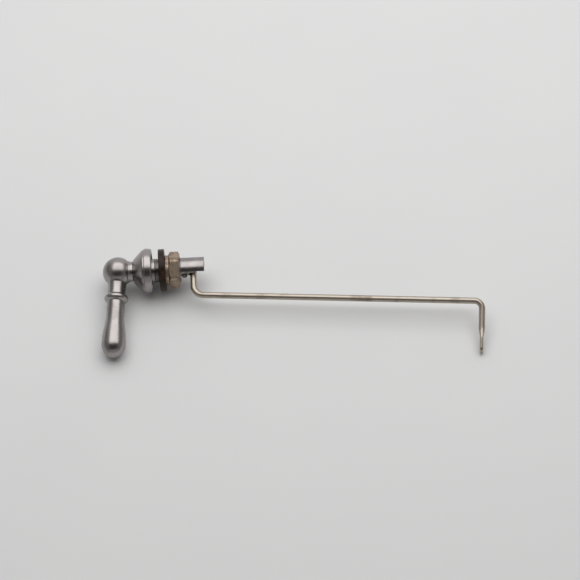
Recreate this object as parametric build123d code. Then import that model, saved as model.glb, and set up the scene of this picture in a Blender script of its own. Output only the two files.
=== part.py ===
from build123d import *

import math
import os

# Side-mount cistern lever, in millimetres.
# The origin is the centre of the escutcheon's back face, which seats on the cistern wall.
# +X runs along the spindle into the cistern, +Z is up, and the handle points along -Y.
# The lever lies at the small droop at which its handle and the escutcheon share one floor.

# Spindle and its fits
spindle_d = 9.8
spindle_running_gap = 0.08
nose_gap = 0.2
socket_gap = 0.03
end_float = 0.3
face_gap = 0.05

# Escutcheon
escutcheon_d = 33.8
rim_width = 5.8
rim_step = 0.9
rim_front_round = 0.8
rim_back_chamfer = 0.5
bell_length = 8.2
bell_run = 7.0
bell_round = 2.5
nose_d = 17.4
nose_round = 1.2
seat_width = 2.6
bell_wall = 2.6
recess_depth = 1.4
recess_slope_length = 0.8

# Shank, cast in one with the escutcheon
shank_d = 18.0
shank_length = 22.0
hood_length = 17.4
hood_relief = 0.3
hood_end_chamfer = 0.6
window_droop = 44.0

# Bush
bush_wall = 1.3
bush_length = 17.0

# Rubber washer
wall_space = 5.4
washer_d = 32.0
washer_thickness = 4.6
washer_bore_gap = 0.25
washer_chamfer = 0.4

# Lock nut
nut_across_flats = 24.0
nut_collar_d = 22.2
nut_collar_length = 2.8
nut_hex_height = 8.2
nut_thread_gap = 0.15
nut_corner_angle = 30.0
nut_collar_chamfer = 0.5
nut_bore_chamfer = 0.6

# Handle
hub_d = 22.8
hub_neck_d = 15.2
hub_neck_length = 3.1
hub_neck_round = 1.0
hub_socket_floor = 4.0
handle_length = 68.6
handle_lean = 4.4
handle_root_at = 6.5
handle_root_d = 15.4
handle_neck_at = 13.0
handle_neck_d = 13.4
handle_collar_d = 14.0
bead_at = 21.6
bead_width = 4.4
bead_d = 17.8
handle_waist_at = 33.0
handle_waist_d = 13.4
handle_belly_at = 58.0
handle_belly_d = 18.2
handle_root_round = 1.2
floor_gap = 0.25

# Arm
rod_d = 4.76
rod_gap = 0.06
stub_length = 13.0
stub_bend = 3.2
leg_stand_off = 8.9
leg_length = 21.3
leg_bend = 7.5
run_length = 216.3
run_yaw = 4.8
run_rise = 1.2
end_bend = 6.0
end_length = 39.2
end_lean = 4.9
end_droop = 13.0
paddle_length = 19.4
paddle_width = 7.2
paddle_thickness = 2.5
paddle_taper = 4.4
paddle_twist = 4.3
chain_hole_d = 3.2
chain_hole_inset = 4.2

# Set screw
screw_d = 4.0
screw_length = 4.0
screw_gap = 0.05
screw_socket_flats = 2.0
screw_socket_depth = 1.8
screw_chamfer = 0.3
screw_stand_off = 0.4

# Radii and stations worked out from the sizes above
spindle_r = spindle_d / 2
rod_r = rod_d / 2
shank_r = shank_d / 2
rim_r = escutcheon_d / 2
bell_r = rim_r - rim_step
bush_inner_r = spindle_r + spindle_running_gap
bush_outer_r = bush_inner_r + bush_wall
nose_x = -(rim_width + bell_length)
hood_r = shank_r - hood_relief
hood_end_x = shank_length + hood_length
washer_x = wall_space
nut_x = washer_x + washer_thickness
hub_r = hub_d / 2
hub_neck_r = hub_neck_d / 2
hub_neck_x = nose_x - end_float
hub_x = hub_neck_x - hub_neck_length - math.sqrt(hub_r**2 - hub_neck_r**2)
socket_x = hub_x - hub_r + hub_socket_floor
rod_bore_r = rod_r + rod_gap
leg_x = shank_length + leg_stand_off
slot_x = leg_x - stub_bend
spindle_end_x = leg_x + rod_r + face_gap
screw_r = screw_d / 2
screw_x = shank_length + screw_stand_off + screw_r
hexagon_sides = 6
ring_tolerance = 1e-4

# The droop at which the handle's belly touches the plane under the escutcheon's rim
belly_y = handle_belly_at * math.cos(math.radians(handle_lean))
belly_reach = math.hypot(belly_y, handle_belly_d / 2)
belly_angle = math.atan2(handle_belly_d / 2, belly_y)
lever_droop = math.degrees(math.asin((rim_r - floor_gap) / belly_reach) - belly_angle)


def along_x(radius, start, end):
    """A round bar about the spindle's axis."""
    bar = Cylinder(radius, end - start, align=(Align.CENTER, Align.CENTER, Align.MIN))
    return Pos(start, 0, 0) * Rot(0, 90, 0) * bar


def turned(points):
    """A solid turned about the spindle's axis from (station, radius) points."""
    outline = Polyline(*points, close=True)
    return revolve(make_face(outline), Axis.X)


def rings(solid, station, radius):
    """The round edges of a turned solid at one station and radius."""
    return [
        edge
        for edge in solid.edges().filter_by(GeomType.CIRCLE)
        if abs(edge.arc_center.X - station) < ring_tolerance
        and abs(edge.radius - radius) < ring_tolerance
    ]


def lie_down(solid):
    """Turn a piece of the lever about the spindle to the angle at which it lies."""
    return Rot(lever_droop, 0, 0) * solid


def make_escutcheon():
    """Bell, rim and shank in one casting, with a window under the half-round hood."""
    seat_inner_r = rim_r - rim_back_chamfer - seat_width
    recess_r = bell_r - bell_wall
    bush_start_x = shank_length - bush_length
    nose_r = nose_d / 2
    nose_bore_r = spindle_r + nose_gap
    body = turned(
        [
            (nose_x, nose_bore_r),
            (nose_x, nose_r),
            (nose_x + bell_run, bell_r),
            (-rim_width, bell_r),
            (-rim_width, rim_r),
            (0, rim_r),
            (0, seat_inner_r),
            (-recess_depth, recess_r),
            (-recess_depth - recess_slope_length, shank_r),
            (shank_length, shank_r),
            (shank_length, hood_r),
            (hood_end_x, hood_r),
            (hood_end_x, bush_outer_r),
            (bush_start_x, bush_outer_r),
            (bush_start_x, nose_bore_r),
        ]
    )
    body = fillet(rings(body, nose_x + bell_run, bell_r), bell_round)
    body = fillet(rings(body, nose_x, nose_r), nose_round)
    body = fillet(rings(body, -rim_width, rim_r), rim_front_round)
    body = chamfer(rings(body, 0, rim_r), rim_back_chamfer)
    body = chamfer(rings(body, hood_end_x, hood_r), hood_end_chamfer)
    return body - make_window()


def make_window():
    """The half space under the hood that leaves the arm free to swing."""
    block = Box(hood_length, shank_d, shank_d, align=(Align.MIN, Align.MAX, Align.CENTER))
    return Rot(window_droop, 0, 0) * Pos(shank_length, 0, 0) * block


def make_bush():
    """Sleeve that carries the spindle in the cast bore."""
    outer = along_x(bush_outer_r, shank_length - bush_length, shank_length)
    return outer - along_x(bush_inner_r, shank_length - bush_length, shank_length)


def make_washer():
    """Rubber ring that seals the inside of the wall."""
    end_x = washer_x + washer_thickness
    bore_r = shank_r + washer_bore_gap
    ring = along_x(washer_d / 2, washer_x, end_x) - along_x(bore_r, washer_x, end_x)
    edges = rings(ring, washer_x, washer_d / 2) + rings(ring, end_x, washer_d / 2)
    return chamfer(edges, washer_chamfer)


def make_nut():
    """Hexagon nut, turned off at both ends of its corners, with a round collar."""
    hex_x = nut_x + nut_collar_length
    end_x = hex_x + nut_hex_height
    bore_r = shank_r + nut_thread_gap
    flats_r = nut_across_flats / 2
    corner_r = flats_r / math.cos(math.pi / hexagon_sides)
    corner_drop = (corner_r - flats_r) * math.tan(math.radians(nut_corner_angle))
    outline = RegularPolygon(flats_r, hexagon_sides, major_radius=False)
    hexagon = Pos(hex_x, 0, 0) * Rot(0, 90, 0) * extrude(outline, nut_hex_height)
    crown = turned(
        [
            (hex_x, 0),
            (hex_x, flats_r),
            (hex_x + corner_drop, corner_r),
            (end_x - corner_drop, corner_r),
            (end_x, flats_r),
            (end_x, 0),
        ]
    )
    collar = along_x(nut_collar_d / 2, nut_x, hex_x)
    collar = chamfer(rings(collar, nut_x, nut_collar_d / 2), nut_collar_chamfer)
    nut = collar + (hexagon & crown)
    nut -= along_x(bore_r, nut_x, end_x)
    return chamfer(rings(nut, nut_x, bore_r) + rings(nut, end_x, bore_r), nut_bore_chamfer)


def make_spindle():
    """Bar with a socket for the arm's stub, a slot for its bend and a tapped hole."""
    stub_end_x = slot_x - stub_length
    bar = along_x(spindle_r, socket_x, spindle_end_x)
    bar -= along_x(rod_bore_r, stub_end_x - face_gap, spindle_end_x)
    slot = Box(
        spindle_end_x - slot_x,
        spindle_d,
        2 * rod_bore_r,
        align=(Align.MIN, Align.MAX, Align.CENTER),
    )
    bar -= Pos(slot_x, 0, 0) * slot
    tapped = Cylinder(
        screw_r + screw_gap, spindle_d, align=(Align.CENTER, Align.CENTER, Align.MIN)
    )
    return bar - Pos(screw_x, 0, 0) * Rot(90, 0, 0) * tapped


def handle_outline():
    """Half section of the lever: along the handle from the hub, and out from its axis."""
    root = (handle_root_at, handle_root_d / 2)
    neck = (handle_neck_at, handle_neck_d / 2)
    bead_start = (bead_at - bead_width / 2, handle_collar_d / 2)
    bead_top = (bead_at, bead_d / 2)
    bead_end = (bead_at + bead_width / 2, handle_waist_d / 2)
    waist = (handle_waist_at, handle_waist_d / 2)
    belly = (handle_belly_at, handle_belly_d / 2)
    dome_length = handle_length - handle_belly_at
    swell = ((waist[0] + belly[0]) / 2, (waist[1] + belly[1]) / 2)
    along = (1, 0)
    back = (-1, 0)
    lines = [
        Polyline((0, 0), (0, root[1]), root),
        ThreePointArc(root, neck, bead_start),
        ThreePointArc(bead_start, bead_top, bead_end),
        Line(bead_end, waist),
        TangentArc(waist, swell, tangent=along),
        TangentArc(belly, swell, tangent=back),
        EllipticalCenterArc((handle_belly_at, 0), dome_length, belly[1], arc_size=90),
        Line((handle_length, 0), (0, 0)),
    ]
    return make_face(Curve() + lines)


def make_handle():
    """Ball hub, neck and a lever that leans off the wall, in one casting, bored for the spindle."""
    lean = math.radians(handle_lean)
    lever_way = (-math.sin(lean), -math.cos(lean), 0)
    hub_place = Plane(origin=(hub_x, 0, 0), x_dir=lever_way, z_dir=(0, 0, 1))
    lever = revolve(hub_place * handle_outline(), Axis((hub_x, 0, 0), lever_way))
    ball = Pos(hub_x, 0, 0) * Sphere(hub_r)
    neck = along_x(hub_neck_r, hub_x, hub_neck_x)
    ball_and_neck = ball + neck
    neck_ring_x = hub_x + math.sqrt(hub_r**2 - hub_neck_r**2)
    ball_and_neck = fillet(rings(ball_and_neck, neck_ring_x, hub_neck_r), hub_neck_round)
    casting = ball_and_neck + lever
    root_rings = casting.edges().filter_by(GeomType.CIRCLE)
    root_rings = root_rings.filter_by_position(Axis.Y, -hub_r, -handle_root_at)
    casting = fillet(root_rings, handle_root_round)
    return casting - along_x(spindle_r + socket_gap, socket_x, hub_neck_x)


def turned_vector(yaw, pitch):
    """Unit direction in the lever's frame: yaw from +X towards -Y, then pitch up."""
    level = math.cos(math.radians(pitch))
    return Vector(
        level * math.cos(math.radians(yaw)),
        -level * math.sin(math.radians(yaw)),
        math.sin(math.radians(pitch)),
    )


def make_arm():
    """One rod: stub in the spindle, leg, long run, and an end leg pressed flat and drilled."""
    run_way = turned_vector(run_yaw, run_rise)
    end_way = turned_vector(90 + end_lean, -end_droop)
    stub_end = Vector(slot_x - stub_length, 0, 0)
    stub_corner = Vector(leg_x, 0, 0)
    leg_corner = stub_corner + Vector(0, -leg_length, 0)
    run_corner = leg_corner + run_way * run_length
    round_end = run_corner + end_way * (end_length - paddle_length)
    flat_start = round_end + end_way * paddle_taper
    route = FilletPolyline(
        stub_end,
        stub_corner,
        leg_corner,
        run_corner,
        round_end,
        radius=[stub_bend, leg_bend, end_bend],
    )
    rod = sweep(Plane(origin=stub_end, z_dir=(1, 0, 0)) * Circle(rod_r), path=route)
    square_way = (run_way - end_way * run_way.dot(end_way)).normalized()
    hole_way = square_way.rotate(Axis((0, 0, 0), end_way), paddle_twist)
    round_section = Plane(origin=round_end, x_dir=hole_way, z_dir=end_way) * Circle(rod_r)
    flat_plane = Plane(origin=flat_start, x_dir=hole_way, z_dir=end_way)
    flat_section = flat_plane * Rectangle(paddle_thickness, paddle_width)
    shoulder = loft([round_section, flat_section])
    flat_length = paddle_length - paddle_taper
    straight = flat_length - paddle_width / 2
    outline = Rectangle(straight, paddle_width, align=(Align.MIN, Align.CENTER))
    outline += Pos(straight, 0) * Circle(paddle_width / 2)
    outline -= Pos(flat_length - chain_hole_inset, 0) * Circle(chain_hole_d / 2)
    paddle_place = Plane(origin=flat_start, x_dir=end_way, z_dir=hole_way)
    paddle = extrude(paddle_place * outline, paddle_thickness / 2, both=True)
    return rod + shoulder + paddle


def make_set_screw():
    """Headless screw with a hexagon socket, standing proud as the spindle's stop."""
    tip_y = rod_r + face_gap
    body = Cylinder(screw_r, screw_length, align=(Align.CENTER, Align.CENTER, Align.MIN))
    body = chamfer(body.edges().filter_by(GeomType.CIRCLE), screw_chamfer)
    socket_outline = RegularPolygon(screw_socket_flats / 2, hexagon_sides, major_radius=False)
    socket = extrude(socket_outline, screw_socket_depth)
    body -= Pos(0, 0, screw_length - screw_socket_depth) * socket
    return Pos(screw_x, -tip_y, 0) * Rot(90, 0, 0) * body


nodes = {
    "escutcheon": make_escutcheon(),
    "spindle_bush": make_bush(),
    "rubber_washer": make_washer(),
    "lock_nut": make_nut(),
    "handle": lie_down(make_handle()),
    "spindle": lie_down(make_spindle()),
    "arm": lie_down(make_arm()),
    "arm_set_screw": lie_down(make_set_screw()),
}

os.makedirs("parts", exist_ok=True)
for name, solid in nodes.items():
    export_step(solid, f"parts/{name}.step")
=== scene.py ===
"""Dresses the solids of a side-mount cistern lever: fine meshes, finishes, studio and camera.

The sizes of the pieces are in millimetres, those of the studio in metres, and angles in degrees. Every mesh
is in metres, in the part's own frame.
"""

import logging
import math
from collections.abc import Callable, Mapping, Sequence
from dataclasses import dataclass
from enum import Enum
from typing import Any

import bmesh
import bpy
from bmesh.types import BMesh, BMVert
from bpy.types import ID, Material, Mesh, Node, NodeSocket, NodeTree, Object
from mathutils import Matrix, Vector


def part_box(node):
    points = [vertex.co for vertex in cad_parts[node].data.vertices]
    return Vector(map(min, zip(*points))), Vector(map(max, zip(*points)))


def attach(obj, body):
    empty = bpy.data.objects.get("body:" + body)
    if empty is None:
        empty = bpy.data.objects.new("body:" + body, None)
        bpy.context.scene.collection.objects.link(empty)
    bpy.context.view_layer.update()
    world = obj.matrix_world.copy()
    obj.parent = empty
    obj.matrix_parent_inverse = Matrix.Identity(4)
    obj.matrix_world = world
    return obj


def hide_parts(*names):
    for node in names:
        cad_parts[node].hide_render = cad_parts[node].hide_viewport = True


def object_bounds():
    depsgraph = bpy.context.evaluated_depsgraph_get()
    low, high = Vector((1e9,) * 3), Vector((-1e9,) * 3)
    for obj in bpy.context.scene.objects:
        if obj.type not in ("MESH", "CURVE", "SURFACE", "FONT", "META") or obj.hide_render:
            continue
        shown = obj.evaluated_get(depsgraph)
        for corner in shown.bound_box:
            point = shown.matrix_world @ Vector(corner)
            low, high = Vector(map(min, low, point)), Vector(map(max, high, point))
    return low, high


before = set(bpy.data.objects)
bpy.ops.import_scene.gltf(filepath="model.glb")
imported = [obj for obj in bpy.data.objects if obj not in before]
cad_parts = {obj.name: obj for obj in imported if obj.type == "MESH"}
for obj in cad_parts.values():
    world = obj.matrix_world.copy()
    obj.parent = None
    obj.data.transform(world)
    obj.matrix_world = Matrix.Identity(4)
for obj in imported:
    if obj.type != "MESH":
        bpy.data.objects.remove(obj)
CAD_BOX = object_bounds()

log = logging.getLogger("cistern_lever")

MM = 0.001
FULL_TURN = 2 * math.pi
QUARTER_TURN = math.pi / 2
RIGHT_ANGLE = 90.0
ARC_STEPS = 6
SHARP_EDGE = 38.0

Colour = tuple[float, float, float]
Paint = Colour | NodeSocket
Position = tuple[float, float, float]
Direction = tuple[float, float, float]
Point = tuple[float, float]
Span = tuple[float, float]
Corner = tuple[float, float, float]
Shape = float | Callable[[float], float]
Sockets = Mapping[str | int, Any]


class Body(Enum):
    """The bodies that move as one."""

    MOUNTING = "mounting"
    LEVER = "lever"
    SEAL = "seal"
    NUT = "nut"


class Slot(Enum):
    """The record's material slots that the new meshes take."""

    SATIN_NICKEL = "satin_nickel"
    DARK_STEEL = "dark_steel"
    RUBBER = "rubber"
    NUT_BRASS = "nut_brass"
    ARM_BRASS = "arm_brass"


class Hand(Enum):
    """Which way a thread winds."""

    LEFT = 1.0
    RIGHT = -1.0


class SocketKind(Enum):
    """Kinds of input that a geometry tree has."""

    GEOMETRY = "NodeSocketGeometry"
    NUMBER = "NodeSocketFloat"
    COUNT = "NodeSocketInt"
    VECTOR = "NodeSocketVector"
    MATERIAL = "NodeSocketMaterial"


class Joining(Enum):
    """How two closed meshes are combined."""

    UNION = "UNION"
    DIFFERENCE = "DIFFERENCE"


class Value:
    """One number socket of a node tree, open to Python arithmetic."""

    def __init__(self, tree: "Tree", socket: NodeSocket) -> None:
        """Wrap an output socket of a tree."""
        self.tree = tree
        self.socket = socket

    def __add__(self, other: "Number") -> "Value":
        """Sum."""
        return self.tree.maths("ADD", self, other)

    def __sub__(self, other: "Number") -> "Value":
        """Difference."""
        return self.tree.maths("SUBTRACT", self, other)

    def __rsub__(self, other: float) -> "Value":
        """Difference from a plain number."""
        return self.tree.maths("SUBTRACT", other, self)

    def __mul__(self, other: "Number") -> "Value":
        """Product."""
        return self.tree.maths("MULTIPLY", self, other)

    def __truediv__(self, other: "Number") -> "Value":
        """Quotient."""
        return self.tree.maths("DIVIDE", self, other)

    def __rtruediv__(self, other: float) -> "Value":
        """A plain number over the value."""
        return self.tree.maths("DIVIDE", other, self)

    def __abs__(self) -> "Value":
        """Size without sign."""
        return self.tree.maths("ABSOLUTE", self)

    __radd__ = __add__
    __rmul__ = __mul__

    def sign(self) -> "Value":
        """Minus one, nought or one."""
        return self.tree.maths("SIGN", self)

    def root(self) -> "Value":
        """Square root."""
        return self.tree.maths("SQRT", self)

    def hypot(self, other: "Value") -> "Value":
        """How far off an axis a point lies, from its two parts across it."""
        return (self * self + other * other).root()

    def power(self, exponent: "Number") -> "Value":
        """The value raised to an exponent."""
        return self.tree.maths("POWER", self, exponent)

    def fraction(self) -> "Value":
        """What is left above the whole number below."""
        return self.tree.maths("FRACT", self)

    def at_least(self, low: float) -> "Value":
        """The value, or the low limit where that is more."""
        return self.tree.maths("MAXIMUM", self, low)

    def ramp(self, low: "Number", high: "Number") -> "Value":
        """A smooth step from 0, where the value is low, to 1, where it is high."""
        sockets = {"Value": self, "From Min": low, "From Max": high}
        return self.tree.value("ShaderNodeMapRange", {"interpolation_type": "SMOOTHSTEP"}, sockets)


Number = Value | float


class Tree:
    """A node tree, and the one way in which nodes are added to it."""

    # A Mix node has a set of sockets for each kind of value. These are the ones for colours.
    mix_inputs: tuple[int, int, int] = (0, 6, 7)
    mix_output: int = 2

    def __init__(self, nodes: NodeTree) -> None:
        """Take over an empty tree."""
        self.nodes = nodes

    def node(
        self,
        kind: str,
        settings: Mapping[str, Any] | None = None,
        sockets: Sockets | None = None,
    ) -> Node:
        """Add a node.

        Args:
            kind: The node's type.
            settings: Its own settings, which are set first.
            sockets: Values or links of its input sockets, by name or number.

        Returns:
            The new node.
        """
        made = self.nodes.nodes.new(kind)
        for name, setting in (settings or {}).items():
            setattr(made, name, setting)
        for key, given in (sockets or {}).items():
            source = given.socket if isinstance(given, Value) else given
            if isinstance(source, NodeSocket):
                self.nodes.links.new(source, made.inputs[key])
            else:
                made.inputs[key].default_value = source
        return made

    def value(
        self,
        kind: str,
        settings: Mapping[str, Any] | None = None,
        sockets: Sockets | None = None,
        output: str | int = 0,
    ) -> Value:
        """Add a node and wrap one of its number outputs."""
        return Value(self, self.node(kind, settings, sockets).outputs[output])

    def maths(self, operation: str, *values: Number) -> Value:
        """One Math node, with its inputs in order."""
        return self.value("ShaderNodeMath", {"operation": operation}, dict(enumerate(values)))

    def split(self, vector: NodeSocket) -> tuple[Value, Value, Value]:
        """The three parts of a vector."""
        made = self.node("ShaderNodeSeparateXYZ", sockets={0: vector})
        return tuple(Value(self, made.outputs[axis]) for axis in "XYZ")

    def join(self, x: Number, y: Number, z: Number) -> NodeSocket:
        """A vector from its three parts."""
        return self.node("ShaderNodeCombineXYZ", sockets={"X": x, "Y": y, "Z": z}).outputs[0]

    def vectors(self, operation: str, first: NodeSocket, second: NodeSocket) -> NodeSocket:
        """One Vector Math node with a vector result."""
        sockets = {0: first, 1: second}
        return self.node("ShaderNodeVectorMath", {"operation": operation}, sockets).outputs["Vector"]

    def scaled(self, vector: NodeSocket, by: Number) -> NodeSocket:
        """A vector times a number."""
        sockets = {0: vector, "Scale": by}
        return self.node("ShaderNodeVectorMath", {"operation": "SCALE"}, sockets).outputs["Vector"]

    def dot(self, first: NodeSocket, second: NodeSocket) -> Value:
        """The dot product of two vectors."""
        settings = {"operation": "DOT_PRODUCT"}
        return self.value("ShaderNodeVectorMath", settings, {0: first, 1: second}, "Value")

    def blend(self, share: Value, first: Paint, second: Paint) -> NodeSocket:
        """Mix two colours.

        Args:
            share: How much of the second shows.
            first: A plain colour or a colour socket.
            second: Another.

        Returns:
            The mixed colour.
        """
        paints = [(*paint, 1.0) if isinstance(paint, tuple) else paint for paint in (first, second)]
        sockets = dict(zip(self.mix_inputs, (share, *paints)))
        return self.node("ShaderNodeMix", {"data_type": "RGBA"}, sockets).outputs[self.mix_output]


@dataclass(frozen=True)
class Place:
    """A local frame whose x axis is the axis that a piece was turned on."""

    origin: Vector
    turn: Matrix

    def matrix(self) -> Matrix:
        """The local frame as a matrix in the part's own frame."""
        return Matrix.Translation(self.origin) @ self.turn.to_4x4()


SPINDLE_AXIS = Place(Vector((0, 0, 0)), Matrix.Identity(3))


def place_across(axis: Vector, origin: Vector) -> Place:
    """A local frame whose x axis runs across the spindle.

    Args:
        axis: The direction of local x.
        origin: The local frame's origin.

    Returns:
        The place, whose local y leans towards the spindle's own direction.
    """
    x = axis.normalized()
    z = x.cross(Vector((1, 0, 0))).normalized()
    return Place(origin, Matrix((x, z.cross(x), z)).transposed())


class Shader(Tree):
    """The node tree of one material, with what the finishes share."""

    drifts_per_m: float = 220.0

    def __init__(self, name: str) -> None:
        """Start an empty material.

        Args:
            name: The material's name.
        """
        self.material = bpy.data.materials.new(name)
        self.material.use_nodes = True
        super().__init__(self.material.node_tree)
        self.nodes.nodes.clear()
        self.coordinates = self.node("ShaderNodeTexCoord").outputs["Object"]

    def local(self, place: Place) -> NodeSocket:
        """Object coordinates seen from a local frame, in metres."""
        sockets = {"Vector": self.coordinates, "Location": place.origin, "Rotation": place.turn.to_euler()}
        return self.node("ShaderNodeMapping", {"vector_type": "TEXTURE"}, sockets).outputs[0]

    def noise(self, vector: NodeSocket, scale: float = 1.0, layers: float = 2.0) -> Value:
        """Soft noise between 0 and 1, by its waves to a unit of the vector and its finer layers."""
        sockets = {"Vector": vector, "Scale": scale, "Detail": layers}
        return self.value("ShaderNodeTexNoise", {"noise_dimensions": "3D"}, sockets)

    def patches(self, per_m: float, layers: float, span: Span) -> Value:
        """Soft patches, so many to a metre: noise stepped up from 0 to 1 over a span of its values."""
        return self.noise(self.coordinates, per_m, layers).ramp(*span)

    def turned_marks(self, place: Place, per_mm: float, layers: float = 2.0, drift: float = 0.0) -> Value:
        """The fine rings that a lathe leaves round an axis.

        Args:
            place: The local frame, with the axis on x.
            per_mm: Rings to a millimetre.
            layers: How many finer layers they have.
            drift: How much a ring changes on its way round.

        Returns:
            The marks, between 0 and 1.
        """
        turned = self.local(place)
        x, y, z = self.split(turned)
        fine = per_mm / MM
        change = self.noise(turned, self.drifts_per_m) * drift if drift else 0.0
        return self.noise(self.join(x * fine, y.hypot(z) * fine, change), layers=layers)

    def attribute(self, name: str) -> Value:
        """A number that the mesh carries at each point."""
        return self.value("ShaderNodeAttribute", {"attribute_name": name}, output="Fac")

    def bump(self, height: Value, depth: float) -> NodeSocket:
        """A normal that follows a height, where a height of 1 stands for a depth in millimetres."""
        return self.node("ShaderNodeBump", sockets={"Distance": depth * MM, "Height": height}).outputs[0]

    def finish(self, sockets: Sockets) -> Material:
        """Close the tree with its surface shader.

        Args:
            sockets: Values or links of the shader's sockets.

        Returns:
            The finished material.
        """
        surface = self.node("ShaderNodeBsdfPrincipled", sockets=sockets)
        self.node("ShaderNodeOutputMaterial", sockets={"Surface": surface.outputs[0]})
        return self.material


@dataclass(frozen=True)
class Finish:
    """What all finishes share: each says what feeds the sockets of its surface shader."""

    def sockets(self, shader: Shader) -> Sockets:
        """What feeds the surface shader, by socket."""
        raise NotImplementedError

    def material(self, name: str) -> Material:
        """Make the finish as a material of that name."""
        shader = Shader(name)
        return shader.finish(self.sockets(shader))


@dataclass(frozen=True)
class SatinNickel(Finish):
    """Nickel plate brushed on the lathe, a little dulled by handling."""

    place: Place
    bright: Colour = (0.355, 0.330, 0.322)
    dull: Colour = (0.290, 0.267, 0.259)
    dull_span: Span = (0.1, 1.0)
    roughness: float = 0.23
    brushed_by: float = 0.05
    smudged_by: float = 0.06
    lines_per_mm: float = 5.0
    line_layers: float = 3.0
    line_drift: float = 6.0
    line_share: float = 0.35
    line_depth: float = 0.004
    smudges_per_m: float = 85.0
    smudge_layers: float = 4.0
    smudge_span: Span = (0.42, 0.72)

    def sockets(self, shader: Shader) -> Sockets:
        """Brushed lines under smudges.

        Args:
            shader: The material's tree.

        Returns:
            What feeds the surface shader, by socket.
        """
        lines = shader.turned_marks(self.place, self.lines_per_mm, self.line_layers, self.line_drift)
        smudge = shader.patches(self.smudges_per_m, self.smudge_layers, self.smudge_span)
        dull = (self.line_share * lines + (1 - self.line_share) * smudge).ramp(*self.dull_span)
        return {
            "Base Color": shader.blend(dull, self.bright, self.dull),
            "Metallic": 1.0,
            "Roughness": self.roughness + self.brushed_by * lines + self.smudged_by * smudge,
            "Normal": shader.bump(lines, self.line_depth),
        }


@dataclass(frozen=True)
class DrawnBrass(Finish):
    """Pale brass rod with the fine lengthwise lines of the drawing die, a little tarnished."""

    pale: Colour = (0.43, 0.38, 0.32)
    tarnished: Colour = (0.28, 0.235, 0.185)
    tarnish_span: Span = (0.12, 0.95)
    roughness: float = 0.36
    tarnish_rough: float = 0.14
    lines_round: float = 44.0
    lines_along_per_m: float = 26.0
    line_layers: float = 3.0
    line_share: float = 0.3
    line_depth: float = 0.006
    patches_per_m: float = 70.0
    patch_layers: float = 5.0
    patch_span: Span = (0.45, 0.75)

    def sockets(self, shader: Shader) -> Sockets:
        """Lines that follow the rod's own length and turn at each point, under tarnish.

        Args:
            shader: The material's tree.

        Returns:
            What feeds the surface shader, by socket.
        """
        along = shader.attribute("along") * self.lines_along_per_m
        turn = shader.attribute("around") * FULL_TURN
        reach = self.lines_round / FULL_TURN
        east, north = (shader.maths(side, turn) * reach for side in ("COSINE", "SINE"))
        lines = shader.noise(shader.join(along, east, north), layers=self.line_layers)
        patch = shader.patches(self.patches_per_m, self.patch_layers, self.patch_span)
        tarnish = (self.line_share * lines + (1 - self.line_share) * patch).ramp(*self.tarnish_span)
        return {
            "Base Color": shader.blend(tarnish, self.pale, self.tarnished),
            "Metallic": 1.0,
            "Roughness": self.roughness + self.tarnish_rough * tarnish,
            "Normal": shader.bump(lines, self.line_depth),
        }


@dataclass(frozen=True)
class DullBrass(Finish):
    """Machined brass gone brown, cleaner where tools and fingers rub it."""

    place: Place
    clean: Colour = (0.42, 0.335, 0.260)
    brown: Colour = (0.29, 0.21, 0.150)
    brown_span: Span = (0.08, 0.9)
    roughness: float = 0.44
    brown_rough: float = 0.16
    cuts_per_mm: float = 3.5
    cut_share: float = 0.25
    cut_depth: float = 0.008
    patches_per_m: float = 240.0
    patch_layers: float = 5.0
    patch_span: Span = (0.36, 0.68)

    def sockets(self, shader: Shader) -> Sockets:
        """Turning marks under brown patches.

        Args:
            shader: The material's tree.

        Returns:
            What feeds the surface shader, by socket.
        """
        cuts = shader.turned_marks(self.place, self.cuts_per_mm)
        patch = shader.patches(self.patches_per_m, self.patch_layers, self.patch_span)
        brown = (self.cut_share * cuts + (1 - self.cut_share) * patch).ramp(*self.brown_span)
        return {
            "Base Color": shader.blend(brown, self.clean, self.brown),
            "Metallic": 1.0,
            "Roughness": self.roughness + self.brown_rough * brown,
            "Normal": shader.bump(cuts, self.cut_depth),
        }


@dataclass(frozen=True)
class WasherRubber(Finish):
    """Moulded black-brown rubber with a dusty bloom."""

    black: Colour = (0.022, 0.011, 0.006)
    bloom: Colour = (0.050, 0.029, 0.020)
    roughness: float = 0.32
    bloom_rough: float = 0.14
    shine: float = 0.2
    grain_per_m: float = 2600.0
    grain_layers: float = 3.0
    grain_share: float = 0.4
    grain_depth: float = 0.02
    blooms_per_m: float = 180.0
    bloom_layers: float = 4.0
    bloom_span: Span = (0.4, 0.75)

    def sockets(self, shader: Shader) -> Sockets:
        """A moulded grain, and bloom that gathers in it.

        Args:
            shader: The material's tree.

        Returns:
            What feeds the surface shader, by socket.
        """
        grain = shader.noise(shader.coordinates, self.grain_per_m, self.grain_layers)
        dusty = shader.patches(self.blooms_per_m, self.bloom_layers, self.bloom_span)
        bloom = (1 - self.grain_share) * dusty + self.grain_share * grain * dusty
        return {
            "Base Color": shader.blend(bloom, self.black, self.bloom),
            "Roughness": self.roughness + self.bloom_rough * bloom,
            "Specular IOR Level": self.shine,
            "Normal": shader.bump(grain, self.grain_depth),
        }


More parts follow.
